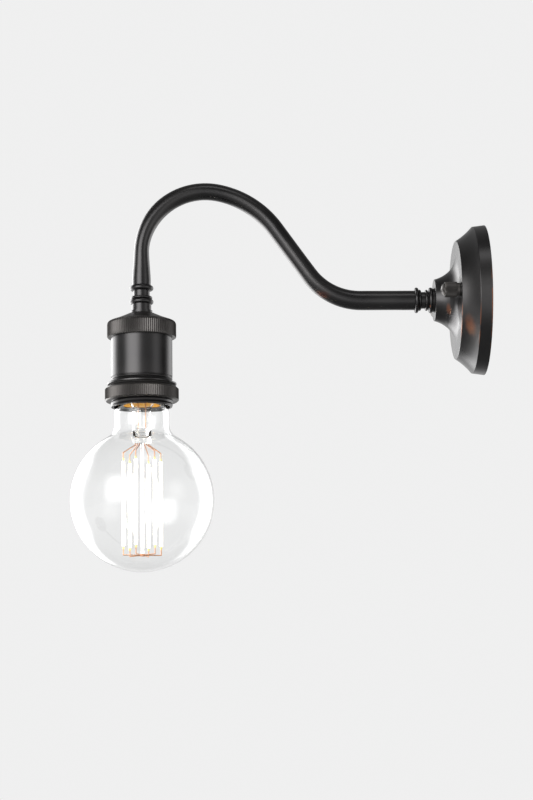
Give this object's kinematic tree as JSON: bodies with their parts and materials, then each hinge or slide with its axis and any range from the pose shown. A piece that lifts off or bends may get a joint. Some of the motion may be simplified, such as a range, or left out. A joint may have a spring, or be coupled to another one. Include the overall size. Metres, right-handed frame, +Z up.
{
  "type": "gooseneck wall sconce",
  "caption": "Gooseneck wall sconce: stepped round canopy, bent tube arm, knurled lampholder with shade ring and bare clear globe LED filament bulb.",
  "frame": {"origin": "centre of the canopy's back face, on the wall", "axes": "+Z up, +Y into the wall, the arm reaches out along -Y, +X to the right of someone who faces the wall"},
  "size_m": [0.1005, 0.2767, 0.2619],
  "materials": {
    "dark_bronze": "satin oil-rubbed bronze, rubbed through to copper on edges",
    "knurled_bronze": "satin oil-rubbed bronze on a straight knurl",
    "zinc_steel": "zinc plated",
    "green_screw": "green passivated",
    "brass": "plain brass",
    "porcelain": "glazed white",
    "clear_glass": "clear",
    "copper_wire": "bare copper-coloured wire",
    "nickel_base": "brass coloured screw base",
    "black_insulator": "black glass",
    "phosphor": "lit yellow phosphor coating",
    "filament_cap": "yellow phosphor over metal tabs",
    "circuit_board": "solder masked",
    "capacitor": "sleeved",
    "white_insulation": "lead insulation",
    "black_insulation": "lead insulation",
    "fibre": "black vulcanised fibre"
  },
  "bodies": {
    "crossbar": {"box_strap": "zinc_steel", "strap_eyelet": "zinc_steel"},
    "fixture": {"stud_strap": "zinc_steel", "canopy_studs": "zinc_steel", "stud_jam_nuts": "zinc_steel", "ground_screw": "green_screw", "canopy": "dark_bronze", "canopy_nipple": "zinc_steel", "canopy_lock_washer": "zinc_steel", "canopy_locknut": "zinc_steel", "canopy_coupling": "dark_bronze", "arm_tube": "dark_bronze", "socket_coupling": "dark_bronze", "socket_cap": "knurled_bronze", "socket_nipple": "zinc_steel", "socket_lock_washer": "zinc_steel", "socket_locknut": "zinc_steel", "socket_shell": "dark_bronze", "porcelain_core": "porcelain", "screw_shell": "brass", "centre_contact": "brass", "contact_rivets": "brass", "line_terminal": "brass", "neutral_terminal": "brass", "terminal_screws": "zinc_steel", "core_clip": "zinc_steel", "neutral_lead": "white_insulation", "line_lead": "black_insulation"},
    "left_washer": {"thumb_washer_left": "dark_bronze"},
    "left_nut": {"thumb_nut_left": "dark_bronze"},
    "right_washer": {"thumb_washer_right": "dark_bronze"},
    "right_nut": {"thumb_nut_right": "dark_bronze"},
    "ring_washer": {"shade_washer": "fibre"},
    "shade_ring": {"shade_ring": "knurled_bronze"},
    "bulb_tip": {"bulb_tip_contact": "nickel_base"},
    "bulb": {"bulb_insulator": "black_insulator", "bulb_screw_base": "nickel_base", "bulb_glass": "clear_glass", "glass_stem": "clear_glass", "centre_post": "clear_glass", "led_filaments": "phosphor", "filament_caps": "filament_cap", "upper_wires": "copper_wire", "lower_spider": "copper_wire", "driver_board": "circuit_board", "driver_parts": "capacitor", "bulb_wires": "copper_wire"}
  },
  "joints": [
    {"name": "levelling_swivel", "type": "hinge", "parent": "crossbar", "child": "fixture", "pos_m": [0, 0, 0], "axis": [0, 1, 0], "range_deg": [-15, 15]},
    {"name": "bulb_travel", "type": "slide", "parent": "fixture", "child": "bulb_tip", "axis": [0, 0, -1], "range_m": [0, 0.01452]},
    {"name": "bulb_turn", "type": "hinge", "parent": "bulb_tip", "child": "bulb", "pos_m": [0, -0.22919, -0.0443], "axis": [0, 0, -1], "range_deg": [0, 1440.05]},
    {"name": "shade_ring_travel", "type": "slide", "parent": "fixture", "child": "ring_washer", "axis": [0, 0, -1], "range_m": [0, 0.014]},
    {"name": "shade_ring_turn", "type": "hinge", "parent": "ring_washer", "child": "shade_ring", "pos_m": [0, -0.22919, -0.06285], "axis": [0, 0, -1], "range_deg": [0, 2016.05]},
    {"name": "left_nut_travel", "type": "slide", "parent": "fixture", "child": "left_washer", "axis": [0, -1, 0], "range_m": [0, 0.00754]},
    {"name": "left_nut_turn", "type": "hinge", "parent": "left_washer", "child": "left_nut", "pos_m": [-0.03492, 0, 0], "axis": [0, -1, 0], "range_deg": [0, 3420.22]},
    {"name": "right_nut_travel", "type": "slide", "parent": "fixture", "child": "right_washer", "axis": [0, -1, 0], "range_m": [0, 0.00754]},
    {"name": "right_nut_turn", "type": "hinge", "parent": "right_washer", "child": "right_nut", "pos_m": [0.03492, 0, 0], "axis": [0, -1, 0], "range_deg": [0, 3420.22]}
  ],
  "couplings": [
    {"joint": "bulb_turn", "follows": "bulb_travel", "rad_per_m": 1731.4},
    {"joint": "shade_ring_turn", "follows": "shade_ring_travel", "rad_per_m": 2513.3},
    {"joint": "left_nut_turn", "follows": "left_nut_travel", "rad_per_m": 7915.8},
    {"joint": "right_nut_turn", "follows": "right_nut_travel", "rad_per_m": 7915.8}
  ]
}
